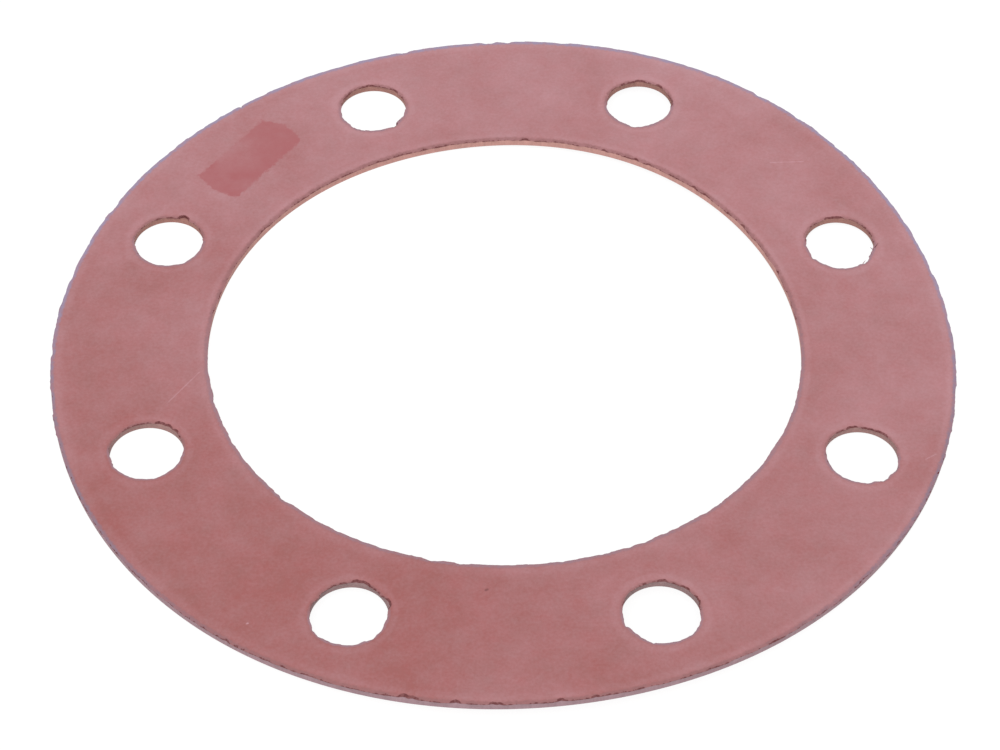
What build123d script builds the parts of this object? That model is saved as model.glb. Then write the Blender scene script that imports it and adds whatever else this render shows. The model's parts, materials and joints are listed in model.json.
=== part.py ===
from build123d import *

import os

# A flat ring gasket, die-cut in one piece from rubber sheet, for a bolted flange.
# It lies on its lower face: the origin is the centre of that face, +Z is up through the sheet,
# and the bolt holes straddle the X and Y axes, as they do on the flanges it fits.
# All sizes are in millimetres.

# The flange sets the circle of bolts, their number and the holes that clear them.
bolt_circle_diameter = 150.0
bolt_hole_count = 8
bolt_hole_diameter = 14.0

# The rubber left standing on each side of a bolt hole, measured along the radius.
outer_land = 8.0
inner_land = 9.0

# The sheet it is cut from.
sheet_thickness = 1.6

# The rim and the bore follow the ring of holes, so that both lands stay whole at any size.
outer_diameter = bolt_circle_diameter + bolt_hole_diameter + 2 * outer_land
bore_diameter = bolt_circle_diameter - bolt_hole_diameter - 2 * inner_land

# Half a step from the X axis to the first hole puts a gap, not a hole, on each centreline.
first_hole_angle = 360 / bolt_hole_count / 2

# The rubber that stays between one hole and the next, which has to hold when the bolts pull down.
hole_to_hole = Vector(bolt_circle_diameter / 2, 0, 0).rotate(Axis.Z, 360 / bolt_hole_count)
bridge = (hole_to_hole - Vector(bolt_circle_diameter / 2, 0, 0)).length - bolt_hole_diameter

with BuildPart() as gasket:
    # One stroke of the die cuts the rim, the bore and all the holes, so one outline holds them.
    with BuildSketch(Plane.XY) as die_outline:
        Circle(outer_diameter / 2)
        Circle(bore_diameter / 2, mode=Mode.SUBTRACT)
        with PolarLocations(bolt_circle_diameter / 2, bolt_hole_count, start_angle=first_hole_angle):
            Circle(bolt_hole_diameter / 2, mode=Mode.SUBTRACT)
    # The knife goes straight through, so the walls stand square to both faces.
    extrude(amount=sheet_thickness)

gasket.part.label = "gasket"

os.makedirs("parts", exist_ok=True)
export_step(gasket.part, "parts/gasket.step")

print(f"outer diameter {outer_diameter:.1f} mm, bore {bore_diameter:.1f} mm, thickness {sheet_thickness:.1f} mm")
print(f"bolt circle {bolt_circle_diameter:.1f} mm, {bolt_hole_count} holes of {bolt_hole_diameter:.1f} mm")
print(f"rubber between neighbouring holes {bridge:.1f} mm")
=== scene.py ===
# %% [markdown]
# # A rubber flange gasket, from the sheet to the finished look
# The real part is cut in one stroke from a sheet of red rubber: a flat ring with a wide bore and a
# ring of bolt holes. It has no pieces that move, so all of its character is in three things: the
# torn upper edge that the knife leaves, the soft wave of a sheet that was stored rolled, and the
# pale bloom of talc on its faces. This lesson makes those three in that order.

# %% Load the measured part
import json
import math
import random

import bmesh
import bpy
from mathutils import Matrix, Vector, noise as noise_maths


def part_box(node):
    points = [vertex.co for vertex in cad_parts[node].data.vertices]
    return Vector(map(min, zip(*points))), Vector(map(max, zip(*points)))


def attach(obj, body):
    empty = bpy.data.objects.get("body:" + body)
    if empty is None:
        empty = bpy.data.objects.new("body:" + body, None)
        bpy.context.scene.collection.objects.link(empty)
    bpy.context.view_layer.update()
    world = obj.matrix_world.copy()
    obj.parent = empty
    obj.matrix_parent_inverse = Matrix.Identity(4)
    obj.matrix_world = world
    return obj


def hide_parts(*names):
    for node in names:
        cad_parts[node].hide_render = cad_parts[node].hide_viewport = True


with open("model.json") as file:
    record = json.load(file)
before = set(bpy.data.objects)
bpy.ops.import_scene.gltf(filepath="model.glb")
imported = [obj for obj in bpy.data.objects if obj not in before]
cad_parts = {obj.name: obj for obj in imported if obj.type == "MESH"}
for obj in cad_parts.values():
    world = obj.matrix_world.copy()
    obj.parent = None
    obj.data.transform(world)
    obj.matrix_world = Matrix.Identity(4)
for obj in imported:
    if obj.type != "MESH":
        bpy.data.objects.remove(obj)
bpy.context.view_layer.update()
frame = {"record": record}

MM = 0.001
low_corner, high_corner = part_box("gasket")
mounts = {mount["name"]: mount for mount in frame["record"]["mounts"]}
bolt_pattern = mounts["bolt_holes"]["dims"]

rim_radius = (high_corner.x - low_corner.x) / 2
bore_radius = mounts["centre_bore"]["dims"]["r_mm"] * MM
bolt_circle_radius = bolt_pattern["pcd_mm"] / 2 * MM
hole_radius = bolt_pattern["hole_r_mm"] * MM
hole_count = bolt_pattern["count"]
thickness = high_corner.z - low_corner.z

hole_step = 2 * math.pi / hole_count
hole_angles = [hole_step * (number + 0.5) for number in range(hole_count)]
print("rim", round(rim_radius, 4), "bore", bore_radius, "metres")
print("thickness", round(thickness, 4), "metres,", hole_count, "holes")

# %% [markdown]
# ## The face of the sheet
# A ring with holes can be cut from a disc with boolean cutters, but that leaves long thin triangles
# round every hole, and they shade badly as soon as the sheet bends. Here the face is drawn as rings
# of even quads instead. Coarse rings carry the plain middle of the sheet, and each cut edge gets
# narrow bands of small quads, because that is where the torn detail goes.

# %% Helpers for working in edit mode
middle_segments = 45 * hole_count


def start_clean():
    """Leave edit mode and drop every selection, as loading the frame leaves its nodes selected."""
    if bpy.context.mode != "OBJECT":
        bpy.ops.object.mode_set(mode="OBJECT")
    bpy.ops.object.select_all(action="DESELECT")


def values_of(piece, name):
    """The numbers stored under a name, in the order of the points."""
    return [item.value for item in piece.data.attributes[name].data]


def pick(piece, kind, wanted):
    """Select the vertices, edges or faces of the mesh in edit mode that wanted() accepts."""
    mesh = bmesh.from_edit_mesh(piece.data)
    bpy.ops.mesh.select_all(action="DESELECT")
    bpy.ops.mesh.select_mode(type={"verts": "VERT", "edges": "EDGE", "faces": "FACE"}[kind])
    count = 0
    for item in getattr(mesh, kind):
        if wanted(item):
            item.select_set(True)
            count += 1
    bmesh.update_edit_mesh(piece.data)
    return count


def rings(radii, centre=(0, 0, 0)):
    """Extrude the selected circle through a list of radii, each ring scaled about the centre."""
    for before, after in zip(radii, radii[1:]):
        bpy.ops.mesh.extrude_edges_move()
        factor = after / before
        bpy.ops.transform.resize(value=(factor, factor, 1), center_override=centre)


def on_circle(edge, centre, radius, slack=0.05 * MM):
    """True where both ends of an edge lie on a circle about the centre."""
    return all(abs((vertex.co.xy - centre).length - radius) < slack for vertex in edge.verts)


def join_to_circle(piece, is_open_edge, cuts, centre, radius, depths, side):
    """Divide an open edge more finely, bridge it to a circle of as many points, and run its bands on.

    Two loops at one height can be joined the wrong way round, so the circle starts a little higher.
    """
    open_edges = pick(piece, "edges", is_open_edge)
    bpy.ops.mesh.subdivide(number_cuts=cuts)
    points = open_edges * (cuts + 1)
    start_radius = radius + side * depths[0]
    bpy.ops.mesh.select_all(action="DESELECT")
    bpy.ops.mesh.primitive_circle_add(
        vertices=points, radius=start_radius, location=(centre.x, centre.y, 1 * MM))
    pick(piece, "edges", lambda edge: is_open_edge(edge) or on_circle(edge, centre, start_radius))
    bpy.ops.mesh.bridge_edge_loops()
    pick(piece, "edges", lambda edge: on_circle(edge, centre, start_radius))
    bpy.ops.transform.translate(value=(0, 0, -1 * MM))
    rings([radius + side * depth for depth in depths], (centre.x, centre.y, 0))
    return points


axis = Vector((0, 0))

# %% Draw the middle of the ring
edge_depths = [1.4 * MM, 0.9 * MM, 0.5 * MM, 0.22 * MM, 0]
window_margin = 3 * MM
window_low = bolt_circle_radius - hole_radius - window_margin
window_high = bolt_circle_radius + hole_radius + window_margin
middle_low = bore_radius + edge_depths[0] + 1 * MM
middle_high = rim_radius - edge_depths[0] - 1 * MM


def steps(start, stop, count):
    """Evenly spaced values from start to stop, both included."""
    return [start + (stop - start) * step / count for step in range(count + 1)]


middle_radii = steps(middle_low, window_low, 2)[:-1] + steps(window_low, window_high, 8)
middle_radii += steps(window_high, middle_high, 2)[1:]

start_clean()
bpy.ops.mesh.primitive_circle_add(vertices=middle_segments, radius=middle_low, enter_editmode=True)
gasket = bpy.context.object
gasket.name = "gasket_sheet"
gasket.data.name = "gasket_sheet"
rings(middle_radii)
print("middle of the ring:", len(bmesh.from_edit_mesh(gasket.data).faces), "quads")

# %% Open a window round each bolt hole and set the hole in it
window_half_angle = math.radians(7.5)

def in_window(face, angle):
    """True for a face of the middle ring that lies in the window round the hole at this angle."""
    centre = face.calc_center_median().xy
    turn = math.remainder(math.atan2(centre.y, centre.x) - angle, 2 * math.pi)
    return abs(turn) < window_half_angle and window_low < centre.length < window_high


def edges_window(edge, centre):
    """True for an open edge of the window round this hole centre."""
    middle = (edge.verts[0].co + edge.verts[1].co).xy / 2
    inside = middle_low + 0.5 * MM < middle.length < middle_high - 0.5 * MM
    return edge.is_boundary and inside and (middle - centre).length < 2.5 * hole_radius


for angle in hole_angles:
    pick(gasket, "faces", lambda face: in_window(face, angle))
    bpy.ops.mesh.delete(type="FACE")
    centre = bolt_circle_radius * Vector((math.cos(angle), math.sin(angle)))
    hole_points = join_to_circle(
        gasket, lambda edge: edges_window(edge, centre), 2, centre, hole_radius, edge_depths, 1)
print(hole_count, "holes of", hole_points, "points each")

# %% Add the rim and the bore with their fine bands
def edges_at(radius):
    """A test for the open edges of the middle ring that lie on a circle of this radius."""
    return lambda edge: edge.is_boundary and on_circle(edge, axis, radius)


rim_points = join_to_circle(gasket, edges_at(middle_high), 3, axis, rim_radius, edge_depths, -1)
bore_points = join_to_circle(gasket, edges_at(middle_low), 2, axis, bore_radius, edge_depths, 1)
print("rim of", rim_points, "points, bore of", bore_points)

# %% Raise the face into a sheet
wall_steps = [thickness - 0.9 * MM, 0.45 * MM, 0.25 * MM, 0.2 * MM]
bpy.ops.mesh.select_all(action="SELECT")
bpy.ops.mesh.normals_make_consistent(inside=False)
for rise in wall_steps:
    bpy.ops.mesh.extrude_region_move(TRANSFORM_OT_translate={"value": (0, 0, rise)})
bpy.ops.mesh.select_all(action="SELECT")
bpy.ops.mesh.normals_make_consistent(inside=False)
bpy.ops.object.mode_set(mode="OBJECT")
print("sheet:", len(gasket.data.polygons), "faces,", round(gasket.dimensions.z / MM, 3), "mm thick")

# %% [markdown]
# ## What the finish has to know
# The talc, the dark torn lip with its painted shade, and the dust and painted highlight beside the
# cut all follow the nearest cut edge. A material can't measure that for itself once the sheet is
# bent, so each point is given three numbers while the sheet is still flat and true: how far it is
# from the nearest cut, how high up the wall it stands, and how far that cut faces the front.

# %% Store the distance from the cut, the height and which way the cut faces
hole_centres = [bolt_circle_radius * Vector((math.cos(angle), math.sin(angle))) for angle in hole_angles]


def nearest_cut(point):
    """The distance to the nearest cut edge of the flat sheet, and the direction towards it."""
    from_axis = point.xy
    outwards = from_axis.normalized()
    choices = [(rim_radius - from_axis.length, outwards), (from_axis.length - bore_radius, -outwards)]
    for centre in hole_centres:
        from_centre = from_axis - centre
        choices.append((from_centre.length - hole_radius, -from_centre.normalized()))
    distance, towards = min(choices, key=lambda choice: choice[0])
    return max(0, distance), towards


def store(piece, name, values):
    """Keep one number for each point of the mesh under a name that a material can read."""
    attribute = piece.data.attributes.new(name, "FLOAT", "POINT")
    attribute.data.foreach_set("value", values)


cuts = [nearest_cut(vertex.co) for vertex in gasket.data.vertices]
store(gasket, "cut_distance", [distance for distance, towards in cuts])
store(gasket, "faces_front", [-towards.y for distance, towards in cuts])
store(gasket, "wall_height", [vertex.co.z / thickness for vertex in gasket.data.vertices])
print("points on a cut wall:", sum(distance < 0.01 * MM for distance, towards in cuts))

# %% [markdown]
# ## Openings that are a little out of true
# Rubber moves away from a punch and comes back after it, so a punched hole is never quite round.
# Each opening is taken with its narrow bands, moved a little off its mark and scaled about its own
# centre, a little more one way than the other.

# %% Pull the openings out of round
random.seed(12)
bands_reach = edge_depths[0] + 0.1 * MM
start_clean()
bpy.context.view_layer.objects.active = gasket
gasket.select_set(True)
bpy.ops.object.mode_set(mode="EDIT")

# How far each hole lies off its mark, in millimetres, from the first hole on. A punch that is set by
# hand never lands quite true, and the holes nearer the front came out a little wider.
punch_drifts = [(-0.1, 0.1), (0.12, 0), (0.2, 0), (0, -0.35),
                (0.25, 0.1), (0.35, 0.1), (0.2, 0.25), (-0.2, 0.1)]
front_growth = 0.035

for centre, (drift_x, drift_y) in zip(hole_centres, punch_drifts):
    pick(gasket, "verts", lambda vertex: (vertex.co.xy - centre).length < hole_radius + bands_reach)
    middle = (centre.x, centre.y, 0)
    growth = 1 + front_growth * max(0, -centre.y / bolt_circle_radius)
    bpy.ops.transform.resize(value=(growth, growth, 1), center_override=middle)
    bpy.ops.transform.translate(value=(drift_x * MM, drift_y * MM, 0))
    lean = random.uniform(0, math.pi)
    bpy.ops.transform.rotate(value=lean, orient_axis="Z", center_override=middle)
    bpy.ops.transform.resize(
        value=(random.uniform(1.01, 1.03), random.uniform(1.01, 1.03), 1), center_override=middle)
    bpy.ops.transform.rotate(value=-lean, orient_axis="Z", center_override=middle)

pick(gasket, "verts", lambda vertex: vertex.co.xy.length < bore_radius + bands_reach)
bpy.ops.transform.resize(value=(1.005, 0.992, 1), center_override=(0, 0, 0))
bpy.ops.transform.translate(value=(0.07 * MM, 0.35 * MM, 0))

pick(gasket, "verts", lambda vertex: vertex.co.xy.length > rim_radius - bands_reach)
rim_lean = math.radians(59)
bpy.ops.transform.rotate(value=rim_lean, orient_axis="Z", center_override=(0, 0, 0))
bpy.ops.transform.resize(value=(1.004, 0.998, 1), center_override=(0, 0, 0))
bpy.ops.transform.rotate(value=-rim_lean, orient_axis="Z", center_override=(0, 0, 0))
bpy.ops.transform.translate(value=(-0.07 * MM, 0.13 * MM, 0))
bpy.ops.object.mode_set(mode="OBJECT")
print("openings pulled out of round")

# %% [markdown]
# ## The rolled and torn upper edge
# The knife goes in from above. It drags the skin of the sheet down before it cuts, so the face
# rolls over at the edge, and the rubber at the lip gives way in small bites between sharp points.
# The lower edge is pressed on the cutting board and stays clean. A Displace modifier would move the
# lip along its normals, half up and half out, and fold the narrow bands over each other. So the
# bites are worked out point by point: cells of unequal size along the cut, each with a round floor,
# that push the lip back and down, and the bands behind and the wall below follow less and less.

# %% Bite depths along a cut
roll_down = 0.1 * MM
roll_reach = 1 * MM
follow_reach = edge_depths[0]
wall_reach = 0.95 * MM
rim_bites = 0.8
hole_bites = 1.3


def scallop(place, size):
    """A row of round bites with sharp points between them, from 0 to 1, each of its own depth."""
    distances, centres = noise_maths.voronoi(place / size)
    strength = 0.25 + 0.75 * noise_maths.cell(centres[0] * 7)
    return strength * max(0, 1 - (distances[0] / 0.75) ** 2)


def bite_at(place):
    """How far the lip is torn back at a place on a cut, in metres."""
    wide = 0.34 * scallop(place, 3 * MM)
    small = 0.18 * scallop(place, 1.5 * MM)
    crumbs = 0.06 * noise_maths.noise(place / (0.8 * MM))
    depth = wide + small + crumbs - 0.18
    if place.length > rim_radius - 2 * MM:
        depth *= rim_bites
    elif place.length > bore_radius + 2 * MM:
        depth *= hole_bites
    return depth * MM


def eased(share):
    """1 at the cut and 0 from the end of the reach on, as a square."""
    return max(0, 1 - share) ** 2


# %% Roll and bite the lip
heights = values_of(gasket, "wall_height")
smooth_shape = []
for vertex, (distance, towards), height in zip(gasket.data.vertices, cuts, heights):
    drop = (1 - height) * thickness
    if distance < follow_reach and drop < wall_reach:
        vertex.co.z -= roll_down * eased(distance / roll_reach) * (1 - drop / wall_reach)
        smooth_shape.append(vertex.co.copy())
        place = Vector((*(vertex.co.xy + towards * distance), 0))
        amount = bite_at(place)
        back = amount * eased(distance / follow_reach) * eased(drop / wall_reach)
        down = max(0, amount) * eased(distance / (0.6 * MM)) * (1 - drop / wall_reach)
        vertex.co -= Vector((towards.x * back, towards.y * back, down))
    else:
        smooth_shape.append(vertex.co.copy())
bites = [(vertex.co - before).length for vertex, before in zip(gasket.data.vertices, smooth_shape)]
print("deepest bite:", round(max(bites) / MM, 2), "mm")

# %% [markdown]
# ## Chips at the lip
# In a few places the knife has pulled a crumb of rubber out with it. Each chip starts at the lip
# point that is nearest its place, and a proportional move takes that point and its neighbours back
# and down, so the crater has a soft floor and stays joined to the sheet.

# %% Place the chips
# Each chip is the angle of its place in degrees, its size and its reach in millimetres.
near_side = -90
rim_chips = [(near_side - 11.3, 0.6, 1.5), (near_side - 10.4, 0.5, 1.3), (near_side - 5.5, 0.6, 1.3),
             (near_side - 1.2, 0.45, 1.1), (near_side - 0.4, 0.35, 1), (near_side + 6.5, 0.45, 1.1),
             (near_side + 10.5, 0.4, 0.9), (near_side - 34, 0.4, 0.8), (129.4, 0.5, 0.7)]
bore_chips = [(86, 0.4, 0.8), (69, 0.35, 0.8), (62, 0.5, 1), (59, 0.45, 0.8), (48, 0.5, 1),
              (45, 0.4, 0.8), (34, 0.4, 0.9), (20, 0.4, 0.8)]


def around(centre, radius, degrees):
    """A point of the cut edge of an opening or the rim, at an angle about its centre."""
    turn = math.radians(degrees)
    return Vector((centre.x + radius * math.cos(turn), centre.y + radius * math.sin(turn)))


def chip(place, inward, size, reach):
    """Pull the lip back from the cut and down, with all that lies within reach of it."""
    mesh = bmesh.from_edit_mesh(gasket.data)
    height = mesh.verts.layers.float["wall_height"]
    depth = mesh.verts.layers.float["cut_distance"]
    lip_points = [vertex for vertex in mesh.verts if vertex[height] > 0.99 and vertex[depth] < 0.01 * MM]
    nearest = min(lip_points, key=lambda vertex: (vertex.co.xy - place).length)
    bpy.ops.mesh.select_all(action="DESELECT")
    nearest.select_set(True)
    bmesh.update_edit_mesh(gasket.data)
    bpy.ops.transform.translate(
        value=(inward.x * size, inward.y * size, -0.6 * size), use_proportional_edit=True,
        proportional_edit_falloff="SHARP", proportional_size=reach, use_proportional_connected=False)


bitten_shape = [vertex.co.copy() for vertex in gasket.data.vertices]
bpy.ops.object.mode_set(mode="EDIT")
bpy.ops.mesh.select_mode(type="VERT")
for degrees, size, reach in rim_chips:
    place = around(axis, rim_radius, degrees)
    chip(place, -place.normalized(), size * MM, reach * MM)
for degrees, size, reach in bore_chips:
    place = around(axis, bore_radius, degrees)
    chip(place, place.normalized(), size * MM, reach * MM)
for centre in hole_centres:
    for spread in (12, 30, 45):
        degrees = random.gauss(62, spread)
        for number in range(2):
            place = around(centre, hole_radius, degrees)
            size, reach = random.uniform(0.25, 0.5), random.uniform(0.7, 1.2)
            chip(place, (place - centre).normalized(), size * MM, reach * MM)
            degrees += random.uniform(4, 9)
bpy.ops.object.mode_set(mode="OBJECT")

torn = [(vertex.co - before).length for vertex, before in zip(gasket.data.vertices, smooth_shape)]
chipped = [(vertex.co - before).length for vertex, before in zip(gasket.data.vertices, bitten_shape)]
store(gasket, "torn", torn)
store(gasket, "chipped", chipped)
print("deepest chip:", round(max(torn) / MM, 2), "mm")

# %% [markdown]
# ## A sheet that no longer lies flat
# Rubber sheet is stored on a roll and keeps some of its curl, so the ring touches the bench on most
# of its face and lifts gently in two places. A bend modifier would curl it all one way. Two wide
# proportional moves, one at the front and a smaller one behind, give each lift its own place.

# %% Lift the front and the back of the ring
def lift(degrees, height, reach):
    """Raise the rim at an angle, with a smooth fall to nothing at the end of its reach."""
    place = around(axis, rim_radius, degrees)
    nearest = min(gasket.data.vertices, key=lambda vertex: (vertex.co.xy - place).length).co.xy
    bpy.ops.object.mode_set(mode="EDIT")
    pick(gasket, "verts", lambda vertex: (vertex.co.xy - nearest).length < 0.01 * MM)
    bpy.ops.transform.translate(
        value=(0, 0, height), use_proportional_edit=True, proportional_edit_falloff="SMOOTH",
        proportional_size=reach)
    bpy.ops.object.mode_set(mode="OBJECT")


lift(near_side + 10, 3.5 * MM, 108 * MM)
lift(57, 2.4 * MM, 83 * MM)
heights = [vertex.co.z for vertex in gasket.data.vertices]
print("lowest", round(min(heights) / MM, 3), "mm, highest", round(max(heights) / MM, 3), "mm")

# %% [markdown]
# ## Threads of torn rubber
# In one bolt hole the rubber tore instead of cutting, and short threads still hang on its lip. Each
# is a thin cone laid at the lip and joined to the sheet, because pulling such a thin spike out of
# the wall itself would stretch the quads round it.

# %% Leave a few torn threads in one hole
def thread(centre, degrees, length, lean, inset):
    """Make one thread at the lip of a hole, its foot in the rubber and its tip turned by lean."""
    foot = around(centre, hole_radius, degrees)
    tops = (vertex for vertex, height in zip(gasket.data.vertices, wall_heights) if height > 0.99)
    lip = min(tops, key=lambda vertex: (vertex.co.xy - foot).length).co
    turn = math.radians(degrees + lean)
    run = Vector((math.cos(turn), math.sin(turn), 0.25))
    middle = lip + run * (length / 2) - Vector((0, 0, inset))
    bpy.ops.mesh.primitive_cone_add(
        vertices=8, radius1=0.11 * MM, radius2=0.03 * MM, depth=length, location=middle,
        rotation=run.to_track_quat("Z", "Y").to_euler())
    return bpy.context.object


wall_heights = values_of(gasket, "wall_height")
start_clean()
threads = [thread(hole_centres[0], -9, 1.3 * MM, 62, 0),
           thread(hole_centres[0], -13, 1 * MM, 150, 0.2 * MM),
           thread(hole_centres[0], -57, 1.5 * MM, 112, 0.3 * MM)]
start_clean()
for piece in (*threads, gasket):
    piece.select_set(True)
bpy.context.view_layer.objects.active = gasket
bpy.ops.object.join()
for name, value in (("wall_height", 1), ("chipped", 0.5 * MM)):
    for item in gasket.data.attributes[name].data[len(wall_heights):]:
        item.value = value
print("points with the threads:", len(gasket.data.vertices))

# %% Smooth shading with crisp cut edges
start_clean()
bpy.context.view_layer.objects.active = gasket
gasket.select_set(True)
bpy.ops.object.shade_smooth_by_angle(angle=math.radians(35))
print("shaded smooth up to 35 degrees")

# %% [markdown]
# ## Red rubber under a bloom of talc
# The sheet itself is an even dark pink. What is seen is mostly what lies on it: talc from the mill,
# which greys the colour in soft clouds and lies a little thicker towards the back, where a painted
# sheen pales it too, a fine grain from the press, and the clean place where a label was peeled off.
# An image of rubber would carry one fixed light with it, so all of this is drawn from noise and a
# few shapes instead.

# %% Helpers for material nodes
def node(tree, kind, **inputs):
    """Add a shader node; names that are its own settings are set, and the rest are its inputs."""
    item = tree.nodes.new("ShaderNode" + kind)
    for name, value in inputs.items():
        if hasattr(item, name):
            setattr(item, name, value)
    for name, value in inputs.items():
        if not hasattr(item, name):
            which = int(name[1:]) if name[1:].isdigit() else name.replace("_", " ")
            socket = item.inputs[which]
            if hasattr(value, "is_output"):
                tree.links.new(value, socket)
            else:
                socket.default_value = value
    return item


def maths(tree, operation, first, second=0.0):
    """One sum of two values."""
    return node(tree, "Math", operation=operation, i0=first, i1=second).outputs[0]


def vector_maths(tree, operation, **inputs):
    """One sum with vectors. Its result is a vector, or a value for a dot product or a length."""
    item = node(tree, "VectorMath", operation=operation, **inputs)
    return item.outputs["Value" if operation in ("DOT_PRODUCT", "DISTANCE", "LENGTH") else "Vector"]


def fade(tree, value, start, stop, low=0.0, high=1.0):
    """A smooth change from low to high while a value goes from start to stop."""
    item = node(tree, "MapRange", interpolation_type="SMOOTHSTEP", Value=value)
    for name, number in (("From Min", start), ("From Max", stop), ("To Min", low), ("To Max", high)):
        item.inputs[name].default_value = number
    return item.outputs["Result"]


def tint(tree, amount, first, second, blend="MIX"):
    """Mix two colours by an amount."""
    item = node(tree, "Mix", data_type="RGBA", blend_type=blend)
    for place, value in ((0, amount), (6, first), (7, second)):
        if hasattr(value, "is_output"):
            tree.links.new(value, item.inputs[place])
        elif place == 0:
            item.inputs[place].default_value = value
        else:
            item.inputs[place].default_value = (*value, 1)
    return item.outputs[2]


def group(name, inputs, outputs):
    """Start a node group with named inputs and outputs."""
    tree = bpy.data.node_groups.new(name, "ShaderNodeTree")
    for socket_name, kind, default in inputs:
        socket = tree.interface.new_socket(socket_name, in_out="INPUT", socket_type="NodeSocket" + kind)
        socket.default_value = default
    for socket_name, kind in outputs:
        tree.interface.new_socket(socket_name, in_out="OUTPUT", socket_type="NodeSocket" + kind)
    return tree, tree.nodes.new("NodeGroupInput"), tree.nodes.new("NodeGroupOutput")


def use(tree, group_tree, **inputs):
    """Place a node group in a material."""
    item = tree.nodes.new("ShaderNodeGroup")
    item.node_tree = group_tree
    for name, value in inputs.items():
        socket = item.inputs[name.replace("_", " ")]
        if hasattr(value, "is_output"):
            tree.links.new(value, socket)
        else:
            socket.default_value = value
    return item


def place_on_piece(tree):
    """Object coordinates, which are metres on the piece."""
    return node(tree, "TexCoord").outputs["Object"]


def noise(tree, place, size, detail=2.0, roughness=0.5, stretch=(1, 1, 1)):
    """A noise whose clouds are about as wide as size."""
    squeezed = node(tree, "Mapping", Vector=place, Scale=[part / size for part in stretch]).outputs[0]
    clouds = node(tree, "TexNoise", Vector=squeezed, Scale=1.0, Detail=detail, Roughness=roughness)
    return clouds.outputs["Fac"]


def centred(tree, value, strength):
    """A noise value moved to swing about 0, times a strength."""
    return maths(tree, "MULTIPLY", maths(tree, "SUBTRACT", value, 0.5), strength)


def total(tree, *values):
    """The sum of several values."""
    result = values[0]
    for value in values[1:]:
        result = maths(tree, "ADD", result, value)
    return result


def product(tree, first, second):
    """Two values multiplied."""
    return maths(tree, "MULTIPLY", first, second)


def rest_of(tree, value):
    """What is left of 1."""
    return maths(tree, "SUBTRACT", 1.0, value)

# %% [markdown]
# ## Small groups for one thing each
# A material with a hundred loose nodes is hard to read. So each thing that is seen on the rubber gets
# its own group, with named inputs: the mottle of the talc, the torn lip with its painted shade, a
# scratch or dot, and the place of the peeled label. A group gives only a colour or a mask, and the
# shader stays outside.

# %% Group: mottle of the talc and grain of the press
mottle, given, out = group(
    "mottle", [("Fine Size", "Float", 0.0008)], [("Clouds", "Float"), ("Grain", "Float")])
place = place_on_piece(mottle)
broad = noise(mottle, place, 26 * MM, 2)
medium = noise(mottle, place, 5 * MM, 3, 0.6)
fine_place = vector_maths(mottle, "DIVIDE", i0=place, i1=given.outputs["Fine Size"])
fine = node(mottle, "TexNoise", Vector=fine_place, Scale=1.0, Detail=2.0, Roughness=0.6).outputs["Fac"]
clouds = total(mottle, product(mottle, broad, 0.6), product(mottle, medium, 0.4))
mottle.links.new(clouds, out.inputs["Clouds"])
mottle.links.new(fine, out.inputs["Grain"])
print("mottle:", len(mottle.nodes), "nodes")

# %% Group: the torn lip and its painted shade
lip_tear, given, out = group(
    "lip_tear",
    [("Color", "Color", (1, 1, 1, 1)), ("Lip Color", "Color", (0.3, 0.2, 0.23, 1)),
     ("Front Lip Color", "Color", (0.3, 0.15, 0.15, 1)), ("Torn Color", "Color", (0.2, 0.05, 0.06, 1)),
     ("Lip Width", "Float", 0.0003), ("Tear Amount", "Float", 0.5)],
    [("Color", "Color")])
depth = node(lip_tear, "Attribute", attribute_name="cut_distance").outputs["Fac"]
height = node(lip_tear, "Attribute", attribute_name="wall_height").outputs["Fac"]
moved = node(lip_tear, "Attribute", attribute_name="torn").outputs["Fac"]
chipped_off = node(lip_tear, "Attribute", attribute_name="chipped").outputs["Fac"]
front = node(lip_tear, "Attribute", attribute_name="faces_front").outputs["Fac"]
place = place_on_piece(lip_tear)
crumb = maths(lip_tear, "SUBTRACT", noise(lip_tear, place, 0.7 * MM, 4, 0.7), 0.5)
dash = maths(lip_tear, "SUBTRACT", noise(lip_tear, place, 2 * MM, 3, 0.7), 0.5)
near_top = fade(lip_tear, height, 0.84, 1.0)

# The darker line along the lip, ragged by the crumbs and broken up by the dashes. It is partly the
# torn lip and partly painted shade in the groove at the top of the wall.
share = maths(lip_tear, "DIVIDE", depth, given.outputs["Lip Width"])
ragged_share = total(lip_tear, share, product(lip_tear, crumb, 1.3))
line = product(lip_tear, fade(lip_tear, ragged_share, 1.1, 0.4), near_top)
line = product(lip_tear, line, fade(lip_tear, dash, -0.12, 0.1, 0.6, 1.0))
# The line's tone follows which way the cut faces. On the rim it is painted shade, violet where the rim
# faces back and grey on its front sides.
at_front = fade(lip_tear, front, -0.3, 0.35)
lip_colour = tint(lip_tear, at_front, given.outputs["Lip Color"], given.outputs["Front Lip Color"])
with_line = tint(lip_tear, line, given.outputs["Color"], lip_colour)

# The dark torn rubber, where the lip moved most, where a chip came out and more towards the front.
tear = total(
    lip_tear,
    product(lip_tear, moved, 1 / (0.5 * MM)),
    product(lip_tear, dash, 2.8),
    product(lip_tear, crumb, 2.6),
    product(lip_tear, front, 0.45),
    product(lip_tear, chipped_off, 1 / (0.09 * MM)),
    given.outputs["Tear Amount"])
tear = maths(lip_tear, "SUBTRACT", tear, product(lip_tear, depth, 1 / (0.45 * MM)))
tear = product(lip_tear, fade(lip_tear, tear, 0.8, 1.3), near_top)
broken_up = fade(lip_tear, noise(lip_tear, place, 0.5 * MM, 2), 0.38, 0.62, 0.62, 1.0)
with_tear = tint(lip_tear, product(lip_tear, tear, broken_up), with_line, given.outputs["Torn Color"])
lip_tear.links.new(with_tear, out.inputs["Color"])
print("lip tear:", len(lip_tear.nodes), "nodes")

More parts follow.
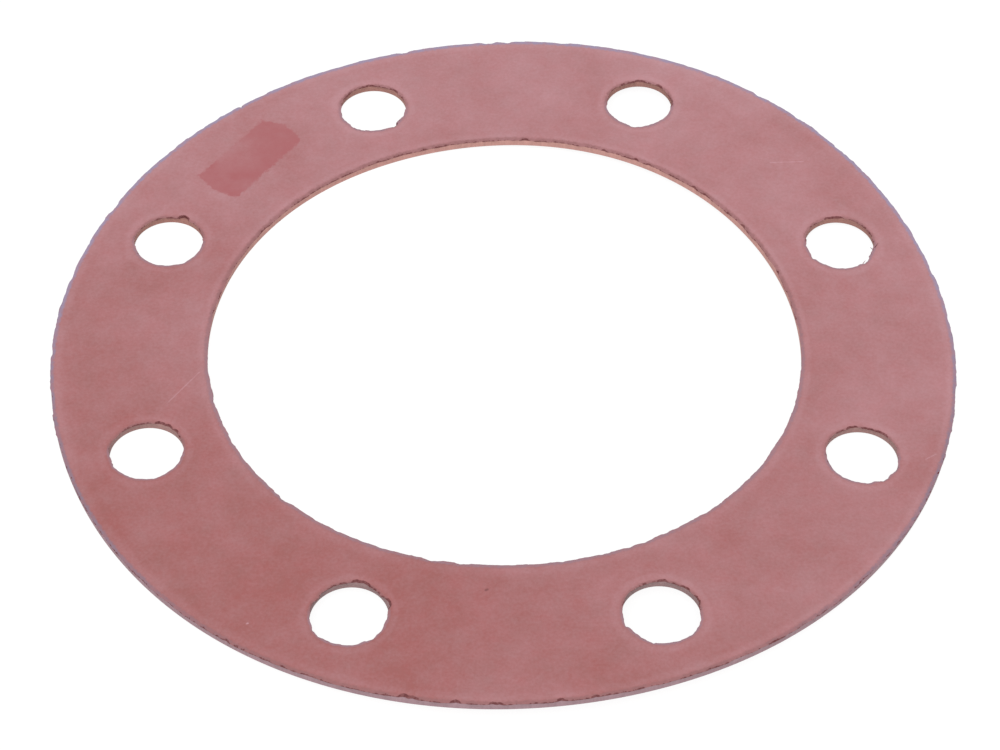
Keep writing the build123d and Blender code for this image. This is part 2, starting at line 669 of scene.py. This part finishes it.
# %% Group: a mark along a short line, or a dot where both ends meet
mark, given, out = group(
    "mark",
    [("Start", "Vector", (0, 0, 0)), ("End", "Vector", (0, 0, 0)), ("Width", "Float", 0.0002)],
    [("Mask", "Float")])
start, end = given.outputs["Start"], given.outputs["End"]
tiny = 1e-12
place = vector_maths(mark, "MULTIPLY", i0=place_on_piece(mark), i1=(1, 1, 0))
from_start = vector_maths(mark, "SUBTRACT", i0=place, i1=start)
whole = vector_maths(mark, "SUBTRACT", i0=end, i1=start)
along = vector_maths(mark, "DOT_PRODUCT", i0=from_start, i1=whole)
length_squared = maths(mark, "ADD", vector_maths(mark, "DOT_PRODUCT", i0=whole, i1=whole), tiny)
share = node(mark, "Clamp", Value=maths(mark, "DIVIDE", along, length_squared)).outputs[0]
nearest = vector_maths(mark, "SCALE", i0=whole, Scale=share)
gap = vector_maths(mark, "DISTANCE", i0=from_start, i1=nearest)
wobble = maths(mark, "MULTIPLY", noise(mark, place, 1.2 * MM, 2), 2)
closeness = maths(mark, "SUBTRACT", wobble, maths(mark, "DIVIDE", gap, given.outputs["Width"]))
mark.links.new(fade(mark, closeness, 0, 1), out.inputs["Mask"])
print("mark:", len(mark.nodes), "nodes")

# %% Group: the place of the peeled label
peeled, given, out = group(
    "peeled_label",
    [("Centre", "Vector", (0, 0, 0)), ("Turn", "Vector", (0, 0, 0)),
     ("Half Length", "Float", 0.011), ("Half Width", "Float", 0.0055)],
    [("Mask", "Float"), ("Cleaned", "Float")])
half_length, half_width = given.outputs["Half Length"], given.outputs["Half Width"]
place = place_on_piece(peeled)
local = node(
    peeled, "Mapping", vector_type="TEXTURE", Vector=place,
    Location=given.outputs["Centre"], Rotation=given.outputs["Turn"]).outputs[0]
parts = node(peeled, "SeparateXYZ", Vector=local)
along = maths(peeled, "ABSOLUTE", parts.outputs["X"])
aside = maths(peeled, "DIVIDE", parts.outputs["Y"], half_width)

# The outline: straight sides, ends that bulge out, and a rough edge all round.
rough = centred(peeled, noise(peeled, place, 1.8 * MM, 5, 0.8), 3 * MM)
bulge = product(peeled, rest_of(peeled, product(peeled, aside, aside)), 1.7 * MM)
to_end = maths(peeled, "SUBTRACT", total(peeled, half_length, bulge), along)
to_side = maths(peeled, "SUBTRACT", half_width, maths(peeled, "ABSOLUTE", parts.outputs["Y"]))
inside = total(peeled, maths(peeled, "MINIMUM", to_end, to_side), rough)
peeled.links.new(fade(peeled, inside, -0.1 * MM, 0.6 * MM), out.inputs["Mask"])

# How clean it is: most at both ends, least along the upper side of the middle.
end_share = fade(peeled, maths(peeled, "DIVIDE", along, half_length), 0.15, 0.7)
upper_side = product(peeled, product(peeled, aside, -0.4), rest_of(peeled, end_share))
smear = centred(peeled, noise(peeled, place, 3.5 * MM, 3), 0.9)
cleaned = total(peeled, product(peeled, end_share, 0.2), upper_side, smear, 0.62)
peeled.links.new(node(peeled, "Clamp", Value=cleaned).outputs[0], out.inputs["Cleaned"])
print("peeled label:", len(peeled.nodes), "nodes")

# %% [markdown]
# ## The face in layers
# The face is built up one colour over another: the rubber, the bloom of talc with a painted sheen in it,
# the cleaner place of the label, a few scratches and dots, and last the torn lip with its painted shade.

# %% The face: talc over red rubber
bare_red = (0.377, 0.132, 0.127)
talc = (0.95, 0.65, 0.755)
clean_red = (0.425, 0.135, 0.145)
torn_red = (0.155, 0.04, 0.042)
lip_brown = (0.325, 0.145, 0.148)
lip_mauve = (0.36, 0.21, 0.25)
# Painted shade along the rim's lip, with a violet cast.
rim_lip_shade_violet = (0.36, 0.29, 0.42)
rim_lip_shade_grey = (0.29, 0.195, 0.25)
speck_brown = (0.2, 0.07, 0.07)

face_finish = bpy.data.materials.new("talced_face")
face_finish.use_nodes = True
tree = face_finish.node_tree
shader = tree.nodes["Principled BSDF"]
place = place_on_piece(tree)
pattern = use(tree, mottle, Fine_Size=0.6 * MM)
depth = node(tree, "Attribute", attribute_name="cut_distance").outputs["Fac"]
front = node(tree, "Attribute", attribute_name="faces_front").outputs["Fac"]

# The bloom grows towards the back and a little towards the right, with clouds and grain in it.
# That growth is partly talc and partly a painted sheen.
across = node(tree, "SeparateXYZ", Vector=vector_maths(tree, "SCALE", i0=place, Scale=1 / rim_radius))
sideways, backwards = across.outputs["X"], across.outputs["Y"]
# A paler band a millimetre or two in from each cut: partly dust and partly a painted highlight where the
# rolled edge tilts to the light.
edge_dust_and_highlight = product(tree, fade(tree, depth, 2.6 * MM, 1.3 * MM), fade(tree, depth, 0.3 * MM, 1.1 * MM))
talc_bloom_and_sheen = total(
    tree,
    product(tree, backwards, 0.07),
    product(tree, sideways, 0.03),
    product(tree, product(tree, sideways, backwards), -0.025),
    0.115,
    centred(tree, pattern.outputs["Clouds"], 0.35),
    centred(tree, pattern.outputs["Grain"], 0.14),
    product(tree, edge_dust_and_highlight, 0.04))

# The rubber itself drifts between a redder and a greyer tone.
redder = [part * shift for part, shift in zip(bare_red, (1.09, 0.82, 0.82))]
greyer = [part * shift for part, shift in zip(bare_red, (0.91, 1.18, 1.18))]
rubber = tint(tree, noise(tree, place, 6 * MM, 6, 0.8), redder, greyer)
colour = tint(tree, talc_bloom_and_sheen, rubber, talc)

label = use(
    tree, peeled, Centre=(-54 * MM, 53.4 * MM, 0), Turn=(0, 0, math.radians(54.5)),
    Half_Length=10.6 * MM, Half_Width=5.6 * MM)
cleaned = product(tree, label.outputs["Mask"], label.outputs["Cleaned"])
colour = tint(tree, cleaned, colour, clean_red)


def add_mark(colour, start, end, width, amount, mark_colour):
    """Draw a scratch or a dot over a colour, between two places given in millimetres."""
    line = use(
        tree, mark, Start=(start[0] * MM, start[1] * MM, 0), End=(end[0] * MM, end[1] * MM, 0),
        Width=width * MM)
    return tint(tree, product(tree, line.outputs["Mask"], amount), colour, mark_colour)


scratches = [((56.1, 51.4), (63.1, 51.9)), ((81.4, -29.4), (83.5, -28)), ((-66, -16.3), (-60.3, -8))]
for start, end in scratches:
    colour = add_mark(colour, start, end, 0.22, 0.14, talc)
colour = add_mark(colour, (-47, -71.1), (-46.8, -71), 0.35, 0.35, talc)
colour = add_mark(colour, (-3.3, -64.1), (-3, -64), 0.35, 0.7, speck_brown)

# The lip: wider towards the back, and narrower at the bolt holes.
radius = vector_maths(tree, "LENGTH", i0=place)
on_rim = fade(tree, radius, rim_radius - 3 * MM, rim_radius - 2 * MM)
past_bore = fade(tree, radius, bore_radius + 2 * MM, bore_radius + 3 * MM)
at_hole = product(tree, rest_of(tree, on_rim), past_bore)
towards_back = maths(tree, "MAXIMUM", backwards, 0)
lip_width = total(tree, product(tree, towards_back, 0.3 * MM), 0.8 * MM)
lip_width = product(tree, lip_width, rest_of(tree, product(tree, at_hole, 0.4)))


def shaded_torn_lip(tree, colour, on_rim, front, lip_width, tear_amount):
    """Put the torn lip and its painted shade over a colour, with the tones of the rim or of the
    openings.
    """
    rim_side = product(tree, on_rim, fade(tree, front, 0.95, 0.5))
    return use(
        tree, lip_tear, Color=colour, Lip_Color=tint(tree, on_rim, lip_mauve, rim_lip_shade_violet),
        Front_Lip_Color=tint(tree, rim_side, lip_brown, rim_lip_shade_grey), Torn_Color=(*torn_red, 1),
        Lip_Width=lip_width, Tear_Amount=tear_amount).outputs["Color"]


tree.links.new(shaded_torn_lip(tree, colour, on_rim, front, lip_width, 0.55), shader.inputs["Base Color"])
rough_face = maths(tree, "ADD", 0.62, maths(tree, "MULTIPLY", pattern.outputs["Clouds"], 0.12))
tree.links.new(rough_face, shader.inputs["Roughness"])
shader.inputs["Specular IOR Level"].default_value = 0.3
bump = node(tree, "Bump", Strength=0.25, Distance=0.02 * MM, Height=pattern.outputs["Grain"])
tree.links.new(bump.outputs["Normal"], shader.inputs["Normal"])
print("talced face:", len(tree.nodes), "nodes")

# %% [markdown]
# ## The cut wall
# The knife leaves fine upright lines on the wall. Fresh rubber shows there, paler and more orange
# than the face. Dust and a painted sheen dull it on the rim, and painted shade greys it in the holes
# nearer the front. The wall has a material of its own, which keeps the change from face to wall sharp.

# %% The cut wall
# The lilac grey of the rim wall is partly dust and partly a painted sheen of the white room.
rim_wall_dust_and_sheen = (0.385, 0.245, 0.272)
bore_core = (0.58, 0.305, 0.27)
hole_core = (0.405, 0.20, 0.17)
# Painted shade for the walls of the holes nearer the front.
hole_wall_front_shade = (0.35, 0.225, 0.225)

wall_finish = bpy.data.materials.new("cut_wall")
wall_finish.use_nodes = True
tree = wall_finish.node_tree
shader = tree.nodes["Principled BSDF"]
place = place_on_piece(tree)
front = node(tree, "Attribute", attribute_name="faces_front").outputs["Fac"]
flat_place = vector_maths(tree, "MULTIPLY", i0=place, i1=(1, 1, 0))
radius = vector_maths(tree, "LENGTH", i0=flat_place)
on_rim = fade(tree, radius, rim_radius - 3 * MM, rim_radius - 2 * MM)
in_bore = fade(tree, radius, bore_radius + 3 * MM, bore_radius + 2 * MM)
backwards = node(tree, "SeparateXYZ", Vector=place).outputs["Y"]
knife = noise(tree, place, 0.5 * MM, 2, 0.6, stretch=(1, 1, 0.12))
blotch = noise(tree, place, 2.5 * MM, 2)
streak = total(tree, product(tree, knife, 0.4), product(tree, blotch, 0.3), 0.65)
streak_colour = node(tree, "CombineColor", i0=streak, i1=streak, i2=streak).outputs[0]
# Painted shade: the walls of the holes nearer the front are greyer, turning to the fresh rubber tone
# towards the back.
hole_colour = tint(tree, fade(tree, backwards, -60 * MM, 20 * MM), hole_wall_front_shade, hole_core)
colour = tint(tree, in_bore, hole_colour, bore_core)
colour = tint(tree, on_rim, colour, rim_wall_dust_and_sheen)
colour = tint(tree, 1.0, colour, streak_colour, "MULTIPLY")
tree.links.new(shaded_torn_lip(tree, colour, on_rim, front, 0.8 * MM, 0.5), shader.inputs["Base Color"])
tree.links.new(maths(tree, "ADD", 0.6, maths(tree, "MULTIPLY", knife, 0.2)), shader.inputs["Roughness"])
shader.inputs["Specular IOR Level"].default_value = 0.3
bump = node(tree, "Bump", Strength=0.4, Distance=0.04 * MM, Height=knife)
tree.links.new(bump.outputs["Normal"], shader.inputs["Normal"])
print("cut wall:", len(tree.nodes), "nodes")

# %% [markdown]
# ## Face and wall kept apart
# Each point still carries its height on the flat wall, so a face of the mesh belongs to the cut when
# its points stand at different heights. That holds wherever the sheet lifts or the lip is torn.

# %% Put the finishes on
for finish in (face_finish, wall_finish):
    gasket.data.materials.append(finish)
start_clean()
bpy.context.view_layer.objects.active = gasket
gasket.select_set(True)
bpy.ops.object.mode_set(mode="EDIT")
height = bmesh.from_edit_mesh(gasket.data).verts.layers.float["wall_height"]


def is_wall(face):
    """True for a face whose points stand at more than one height of the wall."""
    heights = [vertex[height] for vertex in face.verts]
    return max(heights) - min(heights) > 0.01


walls = pick(gasket, "faces", is_wall)
gasket.active_material_index = 1
bpy.ops.object.material_slot_assign()
bpy.ops.object.mode_set(mode="OBJECT")
print("wall faces:", walls)

# %% [markdown]
# ## A white table and soft light
# The gasket lies on a plain white table under soft light from all round and a broad lamp from above.
# The table is bright to light that falls on it, so it throws light back up on the cut walls, as white
# paper does. To the camera it is almost even white, and only a trace of the shadow is left, where
# the ring stands clear of the table.

# %% The white floor
table_grey = 0.8
table_grey_to_camera = 0.13
table_glow_to_camera = 0.92

start_clean()
bpy.ops.mesh.primitive_plane_add(size=40)
floor = bpy.context.object
floor.name = "floor"
floor_material = bpy.data.materials.new("white_floor")
floor_material.use_nodes = True
nodes = floor_material.node_tree.nodes
links = floor_material.node_tree.links
shader = nodes["Principled BSDF"]
shader.inputs["Roughness"].default_value = 1
shader.inputs["Specular IOR Level"].default_value = 0
rays = nodes.new("ShaderNodeLightPath")
gain = nodes.new("ShaderNodeMath")
gain.operation = "MULTIPLY"
gain.inputs[1].default_value = table_glow_to_camera
links.new(rays.outputs["Is Camera Ray"], gain.inputs[0])
table = nodes.new("ShaderNodeMapRange")
table.inputs["To Min"].default_value = table_grey
table.inputs["To Max"].default_value = table_grey_to_camera
links.new(rays.outputs["Is Camera Ray"], table.inputs["Value"])
links.new(table.outputs["Result"], shader.inputs["Base Color"])
shader.inputs["Emission Color"].default_value = (1, 1, 1, 1)
links.new(gain.outputs[0], shader.inputs["Emission Strength"])
floor.data.materials.append(floor_material)
print("floor glows to the camera at", table_glow_to_camera)

# %% Light from all round and a broad lamp
sky_light = 0.62
sky_to_camera = 1
lamp_light = 0.38
lamp_tilt = math.radians(35)
lamp_turn = math.radians(-15)
lamp_spread = math.radians(50)

world = bpy.data.worlds.new("studio")
bpy.context.scene.world = world
world.use_nodes = True
nodes = world.node_tree.nodes
links = world.node_tree.links
backdrop = nodes["Background"]
rays = nodes.new("ShaderNodeLightPath")
level = nodes.new("ShaderNodeMapRange")
level.inputs["To Min"].default_value = sky_light
level.inputs["To Max"].default_value = sky_to_camera
links.new(rays.outputs["Is Camera Ray"], level.inputs["Value"])
links.new(level.outputs["Result"], backdrop.inputs["Strength"])
backdrop.inputs["Color"].default_value = (1, 1, 1, 1)

bpy.ops.object.light_add(type="SUN", rotation=(lamp_tilt, 0, lamp_turn))
key = bpy.context.object
key.name = "key"
key.data.energy = lamp_light * math.pi / math.cos(lamp_tilt)
key.data.angle = lamp_spread
print("lamp of", round(key.data.energy, 3), "and sky of", sky_light)

# %% The camera
lens_mm = 103.7
sensor_mm = 36
camera_place = (-0.0034, -0.3907, 0.4241)
camera_degrees = (42.16, -0.51, 0.18)

camera_data = bpy.data.cameras.new("camera")
camera = bpy.data.objects.new("camera", camera_data)
bpy.context.scene.collection.objects.link(camera)
camera_data.lens = lens_mm
camera_data.sensor_width = sensor_mm
camera_data.clip_start = 0.01
camera.location = camera_place
camera.rotation_euler = [math.radians(angle) for angle in camera_degrees]
bpy.context.scene.camera = camera
bpy.context.scene.view_settings.view_transform = "Standard"
print("camera", round(camera.location.length, 3), "metres from the middle of the ring")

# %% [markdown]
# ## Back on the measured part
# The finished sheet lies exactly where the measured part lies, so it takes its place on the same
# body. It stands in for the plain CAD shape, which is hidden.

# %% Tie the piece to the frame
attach(gasket, "root")
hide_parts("gasket")
